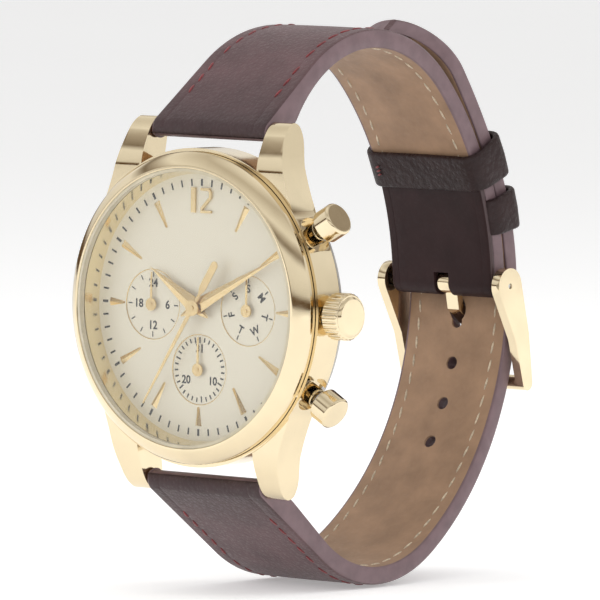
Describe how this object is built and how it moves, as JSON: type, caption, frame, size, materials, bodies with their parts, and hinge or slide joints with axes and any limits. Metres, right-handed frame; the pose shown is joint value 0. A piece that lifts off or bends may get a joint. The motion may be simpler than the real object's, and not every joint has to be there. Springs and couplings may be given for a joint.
{
  "type": "wristwatch",
  "caption": "Round gold-tone quartz wristwatch with small dials, a crown, side pushers and a brown leather strap fastened by a pin buckle",
  "frame": {"origin": "centre of the case back's outer face, where it rests on the wrist", "axes": "+X to 3 o'clock and the crown, +Z to 12 o'clock, +Y out of the case back towards the wrist, so the dial faces -Y"},
  "size_m": [0.0457, 0.0624, 0.0747],
  "materials": {
    "gold_case": "polished, gold-tone plated",
    "gold_trim": "polished, gold-tone",
    "back_steel": "fine circular brushing",
    "glass": "clear mineral glass",
    "dial": "champagne, fine sunburst, printed scales",
    "rehaut": "satin champagne",
    "hand_gold": "faceted and polished",
    "gasket": "matt black",
    "movement_plastic": "moulded",
    "movement_white": "moulded",
    "brass_wheel": "stamped and turned",
    "steel": "turned",
    "battery": "pressed can",
    "copper_wire": "enamelled wire",
    "board": "resin laminate",
    "chip": "moulded resin",
    "leather_outer": "fine grain, dark brown",
    "leather_lining": "smooth tan",
    "leather_keeper": "pebbled, very dark brown"
  },
  "bodies": {
    "case": {"mid_case": "gold_case", "bezel": "gold_case", "crystal": "glass", "crystal_gasket": "gasket", "rehaut_ring": "rehaut", "case_back": "back_steel", "case_back_gasket": "gasket", "dial": "dial", "hour_markers": "gold_trim", "numeral_twelve": "gold_trim", "main_plate": "movement_plastic", "movement_holder": "movement_white", "train_bridge": "steel", "bridge_screws": "steel", "battery": "battery", "battery_clamp": "steel", "coil_core": "steel", "coil_winding": "copper_wire", "stator": "steel", "circuit_board": "board", "quartz_crystal": "steel", "timing_chip": "chip", "crown_tube": "steel", "pusher_tubes": "steel", "short_strap_leather": "leather_outer", "short_strap_lining": "leather_lining", "strap_fold_flap": "leather_outer", "long_strap_leather": "leather_outer", "long_strap_lining": "leather_lining", "fixed_keeper": "leather_keeper", "lug_spring_bars": "steel", "buckle_spring_bar": "steel"},
    "seconds_arbor": {"seconds_wheel": "brass_wheel", "seconds_hand": "hand_gold"},
    "third_arbor": {"third_wheel": "brass_wheel"},
    "minute_arbor": {"centre_wheel": "brass_wheel", "minute_hand": "hand_gold"},
    "minute_work_arbor": {"minute_work_wheel": "brass_wheel"},
    "hour_arbor": {"hour_wheel": "brass_wheel", "hour_hand": "hand_gold"},
    "idler_arbor": {"twenty_four_hour_idler": "brass_wheel"},
    "twenty_four_arbor": {"twenty_four_hour_wheel": "brass_wheel", "twenty_four_hour_hand": "hand_gold"},
    "intermediate_arbor": {"intermediate_wheel": "brass_wheel"},
    "rotor_arbor": {"rotor": "steel"},
    "day_arbor": {"day_star_wheel": "brass_wheel", "day_hand": "hand_gold"},
    "date_arbor": {"date_star_wheel": "brass_wheel", "date_hand": "hand_gold"},
    "clutch": {"clutch_wheel": "steel"},
    "crown_group": {"crown": "gold_case", "winding_stem": "steel"},
    "lever": {"setting_lever": "steel"},
    "upper_pusher_group": {"upper_pusher": "gold_case", "upper_pusher_spring": "steel"},
    "lower_pusher_group": {"lower_pusher": "gold_case", "lower_pusher_spring": "steel"},
    "frame": {"buckle_frame": "gold_case"},
    "tongue": {"buckle_tongue": "gold_case"},
    "keeper": {"free_keeper": "leather_keeper"}
  },
  "joints": [
    {"name": "seconds_turn", "type": "hinge", "parent": "case", "child": "seconds_arbor", "pos_m": [0, -0.0056, 0], "axis": [0, 1, 0], "continuous": true},
    {"name": "third_turn", "type": "hinge", "parent": "case", "child": "third_arbor", "pos_m": [0, -0.0056, 0.00289], "axis": [0, 1, 0], "continuous": true},
    {"name": "minute_turn", "type": "hinge", "parent": "case", "child": "minute_arbor", "pos_m": [0, -0.0056, 0], "axis": [0, 1, 0], "continuous": true},
    {"name": "minute_work_turn", "type": "hinge", "parent": "case", "child": "minute_work_arbor", "pos_m": [0.0012, -0.0056, -0.00208], "axis": [0, 1, 0], "continuous": true},
    {"name": "hour_turn", "type": "hinge", "parent": "case", "child": "hour_arbor", "pos_m": [0, -0.0056, 0], "axis": [0, 1, 0], "continuous": true},
    {"name": "idler_turn", "type": "hinge", "parent": "case", "child": "idler_arbor", "pos_m": [-0.00313, -0.0056, 0.00047], "axis": [0, 1, 0], "continuous": true},
    {"name": "twenty_four_turn", "type": "hinge", "parent": "case", "child": "twenty_four_arbor", "pos_m": [-0.0082, -0.0056, 0], "axis": [0, 1, 0], "continuous": true},
    {"name": "intermediate_turn", "type": "hinge", "parent": "case", "child": "intermediate_arbor", "pos_m": [-0.0021, -0.0056, -0.00189], "axis": [0, 1, 0], "continuous": true},
    {"name": "rotor_turn", "type": "hinge", "parent": "case", "child": "rotor_arbor", "pos_m": [-0.00322, -0.0056, -0.00383], "axis": [0, 1, 0], "continuous": true},
    {"name": "day_turn", "type": "hinge", "parent": "case", "child": "day_arbor", "pos_m": [0.0082, -0.0056, 0], "axis": [0, 1, 0], "continuous": true},
    {"name": "date_turn", "type": "hinge", "parent": "case", "child": "date_arbor", "pos_m": [0, -0.0056, -0.0082], "axis": [0, 1, 0], "continuous": true},
    {"name": "crown_turn", "type": "hinge", "parent": "case", "child": "clutch", "pos_m": [0, -0.004, 0], "axis": [1, 0, 0], "continuous": true},
    {"name": "crown_pull", "type": "slide", "parent": "clutch", "child": "crown_group", "axis": [1, 0, 0], "range_m": [0, 0.001]},
    {"name": "setting_lever_swing", "type": "hinge", "parent": "case", "child": "lever", "pos_m": [0.0108, -0.0056, 0.00214], "axis": [0, -1, 0], "range_deg": [0, 26.3]},
    {"name": "upper_push", "type": "slide", "parent": "case", "child": "upper_pusher_group", "axis": [-0.866, 0, -0.5], "range_m": [0, 0.001], "stiffness_N_per_m": 400, "deforming": ["upper_pusher_spring"]},
    {"name": "lower_push", "type": "slide", "parent": "case", "child": "lower_pusher_group", "axis": [-0.866, 0, 0.5], "range_m": [0, 0.001], "stiffness_N_per_m": 400, "deforming": ["lower_pusher_spring"]},
    {"name": "buckle_swing", "type": "hinge", "parent": "case", "child": "frame", "pos_m": [0, 0.04635, 0.0013], "axis": [1, 0, 0], "range_deg": [0, 2.5]},
    {"name": "tongue_swing", "type": "hinge", "parent": "frame", "child": "tongue", "pos_m": [0, 0.04635, 0.0013], "axis": [1, 0, 0], "range_deg": [0, 1]},
    {"name": "keeper_slide", "type": "hinge", "parent": "case", "child": "keeper", "pos_m": [0, 0.00383, -0.0005], "axis": [1, 0, 0], "range_deg": [-2, 7.5]}
  ],
  "couplings": [
    {"joint": "third_turn", "follows": "seconds_turn", "ratio": -0.13333},
    {"joint": "minute_turn", "follows": "seconds_turn", "ratio": 0.016667},
    {"joint": "minute_work_turn", "follows": "seconds_turn", "ratio": -0.0055556},
    {"joint": "hour_turn", "follows": "seconds_turn", "ratio": 0.0013889},
    {"joint": "idler_turn", "follows": "seconds_turn", "ratio": -0.0021368},
    {"joint": "twenty_four_turn", "follows": "seconds_turn", "ratio": 0.00069444},
    {"joint": "intermediate_turn", "follows": "seconds_turn", "ratio": -5},
    {"joint": "rotor_turn", "follows": "seconds_turn", "ratio": 30},
    {"joint": "setting_lever_swing", "follows": "crown_pull", "rad_per_m": 458.3}
  ]
}
